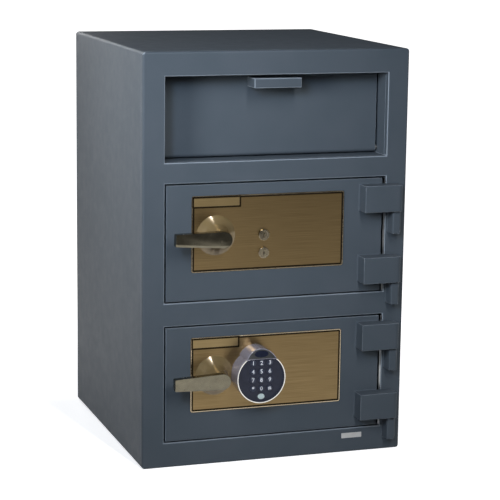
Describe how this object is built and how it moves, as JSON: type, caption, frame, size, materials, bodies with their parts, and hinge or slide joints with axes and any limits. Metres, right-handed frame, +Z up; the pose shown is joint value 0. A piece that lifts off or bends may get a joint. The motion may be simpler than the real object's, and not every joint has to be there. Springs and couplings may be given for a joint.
{
  "type": "deposit safe",
  "caption": "Floor-standing steel deposit safe: a recessed tilt-out drawer over hinged doors with lever handles, the upper door with a key lock and the lower one with a keypad",
  "frame": {"origin": "centre of the safe's base, on the floor", "axes": "+X to the right as seen from the front, +Y from the front to the back, +Z up"},
  "size_m": [0.508, 0.562, 0.762],
  "materials": {
    "paint": "semi-gloss slate blue-grey enamel on steel",
    "inner_steel": "dark grey primer on steel",
    "rubber": "black rubber",
    "bare_steel": "bright ground steel",
    "chrome": "bright chrome plating",
    "brushed_brass": "bronze-toned plate, brushed along its width",
    "lock_brass": "satin brass",
    "keypad_face": "glossy dark navy plastic",
    "keypad_key": "dark navy plastic with white figures"
  },
  "bodies": {
    "cabinet": {"body_shell": "paint", "back_panel": "paint", "front_frame": "paint", "drawer_surround": "paint", "drawer_brackets": "inner_steel", "drawer_stops": "rubber", "deposit_shelf": "inner_steel", "deposit_baffle": "inner_steel", "compartment_divider": "inner_steel", "jamb_stops": "inner_steel", "hinge_knuckles": "paint", "hinge_pins": "bare_steel"},
    "drawer": {"drawer_front": "paint", "drawer_pull": "paint", "drawer_floor": "inner_steel", "drawer_cheeks": "inner_steel", "drawer_pivot_pins": "bare_steel"},
    "upper_door_leaf": {"upper_door": "paint", "upper_hinge_blocks": "paint", "upper_escutcheon": "brushed_brass", "upper_handle_boss": "chrome", "key_noses": "lock_brass", "key_lock_case": "bare_steel", "upper_bolt_guides": "inner_steel", "upper_dead_bar": "inner_steel"},
    "upper_handle": {"upper_lever": "chrome", "upper_spindle": "bare_steel", "upper_cam": "inner_steel"},
    "upper_boltwork": {"upper_bolt_bar": "bare_steel", "upper_bolts": "chrome"},
    "guard_plug_turning": {"guard_plug": "lock_brass"},
    "renter_plug_turning": {"renter_plug": "lock_brass"},
    "key_lock_blocker": {"key_lock_bolt": "lock_brass"},
    "lower_door_leaf": {"lower_door": "paint", "lower_hinge_blocks": "paint", "lower_escutcheon": "brushed_brass", "lower_handle_boss": "chrome", "keypad_housing": "chrome", "keypad_face": "keypad_face", "code_lock_case": "bare_steel", "lower_bolt_guides": "inner_steel", "lower_dead_bar": "inner_steel"},
    "lower_handle": {"lower_lever": "chrome", "lower_spindle": "bare_steel", "lower_cam": "inner_steel"},
    "lower_boltwork": {"lower_bolt_bar": "bare_steel", "lower_bolts": "chrome"},
    "code_lock_blocker": {"code_lock_bolt": "lock_brass"},
    "key_1_cap": {"key_1": "keypad_key"},
    "key_2_cap": {"key_2": "keypad_key"},
    "key_3_cap": {"key_3": "keypad_key"},
    "key_4_cap": {"key_4": "keypad_key"},
    "key_5_cap": {"key_5": "keypad_key"},
    "key_6_cap": {"key_6": "keypad_key"},
    "key_7_cap": {"key_7": "keypad_key"},
    "key_8_cap": {"key_8": "keypad_key"},
    "key_9_cap": {"key_9": "keypad_key"},
    "key_star_cap": {"key_star": "keypad_key"},
    "key_0_cap": {"key_0": "keypad_key"},
    "key_hash_cap": {"key_hash": "keypad_key"}
  },
  "joints": [
    {"name": "drawer_tilt", "type": "hinge", "parent": "cabinet", "child": "drawer", "pos_m": [0, -0.1995, 0.573], "axis": [1, 0, 0], "range_deg": [0, 65]},
    {"name": "upper_door_swing", "type": "hinge", "parent": "cabinet", "child": "upper_door_leaf", "pos_m": [0.2265, -0.2703, 0.417], "axis": [0, 0, 1], "range_deg": [0, 170]},
    {"name": "upper_handle_turn", "type": "hinge", "parent": "upper_door_leaf", "child": "upper_handle", "pos_m": [-0.1175, -0.254, 0.43], "axis": [0, -1, 0], "range_deg": [0, 60]},
    {"name": "upper_bolts_slide", "type": "slide", "parent": "upper_door_leaf", "child": "upper_boltwork", "axis": [-1, 0, 0], "range_m": [0, 0.02]},
    {"name": "guard_key_turn", "type": "hinge", "parent": "upper_door_leaf", "child": "guard_plug_turning", "pos_m": [-0.026, -0.254, 0.427], "axis": [0, 1, 0], "range_deg": [0, 90]},
    {"name": "renter_key_turn", "type": "hinge", "parent": "upper_door_leaf", "child": "renter_plug_turning", "pos_m": [-0.026, -0.254, 0.394], "axis": [0, 1, 0], "range_deg": [0, 90]},
    {"name": "key_lock_bolt_slide", "type": "slide", "parent": "upper_door_leaf", "child": "key_lock_blocker", "axis": [0, 0, 1], "range_m": [0, 0.009]},
    {"name": "lower_door_swing", "type": "hinge", "parent": "cabinet", "child": "lower_door_leaf", "pos_m": [0.2265, -0.2703, 0.156], "axis": [0, 0, 1], "range_deg": [0, 170]},
    {"name": "lower_handle_turn", "type": "hinge", "parent": "lower_door_leaf", "child": "lower_handle", "pos_m": [-0.1175, -0.254, 0.169], "axis": [0, -1, 0], "range_deg": [0, 60]},
    {"name": "lower_bolts_slide", "type": "slide", "parent": "lower_door_leaf", "child": "lower_boltwork", "axis": [-1, 0, 0], "range_m": [0, 0.02]},
    {"name": "code_lock_bolt_slide", "type": "slide", "parent": "lower_door_leaf", "child": "code_lock_blocker", "axis": [0, 0, 1], "range_m": [0, 0.009]},
    {"name": "key_1_press", "type": "slide", "parent": "lower_door_leaf", "child": "key_1_cap", "axis": [0, 1, 0], "range_m": [0, 0.001], "stiffness_N_per_m": 300},
    {"name": "key_2_press", "type": "slide", "parent": "lower_door_leaf", "child": "key_2_cap", "axis": [0, 1, 0], "range_m": [0, 0.001], "stiffness_N_per_m": 300},
    {"name": "key_3_press", "type": "slide", "parent": "lower_door_leaf", "child": "key_3_cap", "axis": [0, 1, 0], "range_m": [0, 0.001], "stiffness_N_per_m": 300},
    {"name": "key_4_press", "type": "slide", "parent": "lower_door_leaf", "child": "key_4_cap", "axis": [0, 1, 0], "range_m": [0, 0.001], "stiffness_N_per_m": 300},
    {"name": "key_5_press", "type": "slide", "parent": "lower_door_leaf", "child": "key_5_cap", "axis": [0, 1, 0], "range_m": [0, 0.001], "stiffness_N_per_m": 300},
    {"name": "key_6_press", "type": "slide", "parent": "lower_door_leaf", "child": "key_6_cap", "axis": [0, 1, 0], "range_m": [0, 0.001], "stiffness_N_per_m": 300},
    {"name": "key_7_press", "type": "slide", "parent": "lower_door_leaf", "child": "key_7_cap", "axis": [0, 1, 0], "range_m": [0, 0.001], "stiffness_N_per_m": 300},
    {"name": "key_8_press", "type": "slide", "parent": "lower_door_leaf", "child": "key_8_cap", "axis": [0, 1, 0], "range_m": [0, 0.001], "stiffness_N_per_m": 300},
    {"name": "key_9_press", "type": "slide", "parent": "lower_door_leaf", "child": "key_9_cap", "axis": [0, 1, 0], "range_m": [0, 0.001], "stiffness_N_per_m": 300},
    {"name": "key_star_press", "type": "slide", "parent": "lower_door_leaf", "child": "key_star_cap", "axis": [0, 1, 0], "range_m": [0, 0.001], "stiffness_N_per_m": 300},
    {"name": "key_0_press", "type": "slide", "parent": "lower_door_leaf", "child": "key_0_cap", "axis": [0, 1, 0], "range_m": [0, 0.001], "stiffness_N_per_m": 300},
    {"name": "key_hash_press", "type": "slide", "parent": "lower_door_leaf", "child": "key_hash_cap", "axis": [0, 1, 0], "range_m": [0, 0.001], "stiffness_N_per_m": 300}
  ],
  "couplings": [
    {"joint": "upper_handle_turn", "follows": "upper_bolts_slide", "rad_per_m": 52.36},
    {"joint": "renter_key_turn", "follows": "key_lock_bolt_slide", "rad_per_m": 174.53},
    {"joint": "lower_handle_turn", "follows": "lower_bolts_slide", "rad_per_m": 52.36},
    {"joint": "code_lock_bolt_slide", "follows": "lower_bolts_slide", "ratio": 0.45}
  ]
}
